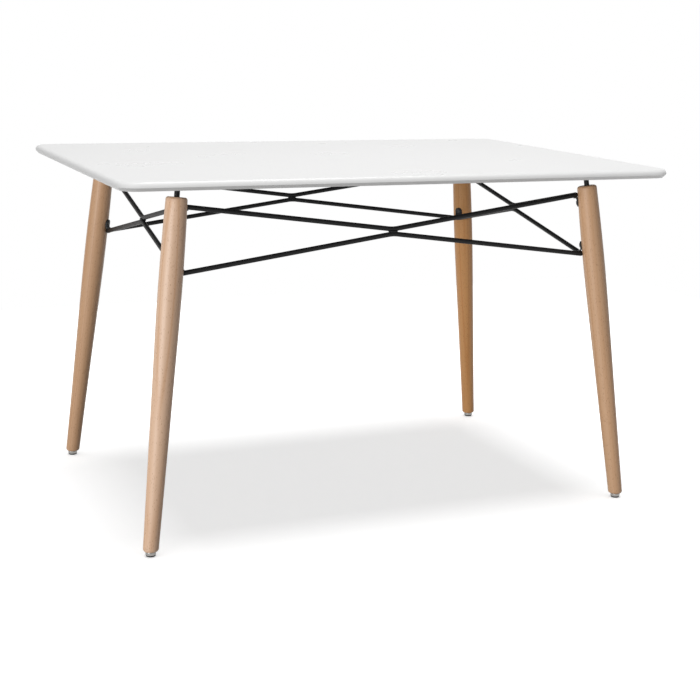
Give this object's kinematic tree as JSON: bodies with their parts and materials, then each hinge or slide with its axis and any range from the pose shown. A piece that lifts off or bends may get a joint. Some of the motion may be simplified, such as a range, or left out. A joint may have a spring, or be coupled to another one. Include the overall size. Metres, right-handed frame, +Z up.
{
  "type": "dining table",
  "caption": "Rectangular dining table with a white rounded board, splayed turned beech legs and a crossed frame of bent black steel rods.",
  "frame": {"origin": "on the floor under the middle of the table", "axes": "+X along the long side, +Y to the back, +Z up"},
  "size_m": [1.2, 0.85, 0.745],
  "materials": {
    "white_lacquer": "white satin lacquer on fibreboard",
    "beech": "turned beech under clear satin lacquer",
    "black_steel": "black satin powder coat on steel",
    "black_bolts": "black oxide steel",
    "zinc_steel": "bright zinc plated steel",
    "nickel": "nickel plated pressed steel",
    "brass": "plain turned brass",
    "black_plastic": "moulded black polyethylene"
  },
  "bodies": {
    "root": {"corner_welds_back_left": "black_steel", "corner_welds_back_right": "black_steel", "corner_welds_front_left": "black_steel", "corner_welds_front_right": "black_steel", "glide_cap_back_left": "nickel", "glide_cap_back_right": "nickel", "glide_cap_front_left": "nickel", "glide_cap_front_right": "nickel", "glide_pad_back_left": "black_plastic", "glide_pad_back_right": "black_plastic", "glide_pad_front_left": "black_plastic", "glide_pad_front_right": "black_plastic", "leg_back_left": "beech", "leg_back_right": "beech", "leg_front_left": "beech", "leg_front_right": "beech", "mid_weld_back": "black_steel", "mid_weld_front": "black_steel", "mid_weld_left": "black_steel", "mid_weld_right": "black_steel", "mounting_plate_back_left": "black_steel", "mounting_plate_back_right": "black_steel", "mounting_plate_front_left": "black_steel", "mounting_plate_front_right": "black_steel", "plate_screws_back_left": "zinc_steel", "plate_screws_back_right": "zinc_steel", "plate_screws_front_left": "zinc_steel", "plate_screws_front_right": "zinc_steel", "rod_inverted_v_back": "black_steel", "rod_inverted_v_front": "black_steel", "rod_inverted_v_left": "black_steel", "rod_inverted_v_right": "black_steel", "rod_v_back": "black_steel", "rod_v_front": "black_steel", "rod_v_left": "black_steel", "rod_v_right": "black_steel", "stem_back_left": "black_steel", "stem_back_right": "black_steel", "stem_front_left": "black_steel", "stem_front_right": "black_steel", "tab_bolts_back_left": "black_bolts", "tab_bolts_back_right": "black_bolts", "tab_bolts_front_left": "black_bolts", "tab_bolts_front_right": "black_bolts", "tab_high_back_left": "black_steel", "tab_high_back_right": "black_steel", "tab_high_front_left": "black_steel", "tab_high_front_right": "black_steel", "tab_inserts_back_left": "brass", "tab_inserts_back_right": "brass", "tab_inserts_front_left": "brass", "tab_inserts_front_right": "brass", "tab_low_back_left": "black_steel", "tab_low_back_right": "black_steel", "tab_low_front_left": "black_steel", "tab_low_front_right": "black_steel", "tabletop": "white_lacquer"}
  },
  "joints": []
}
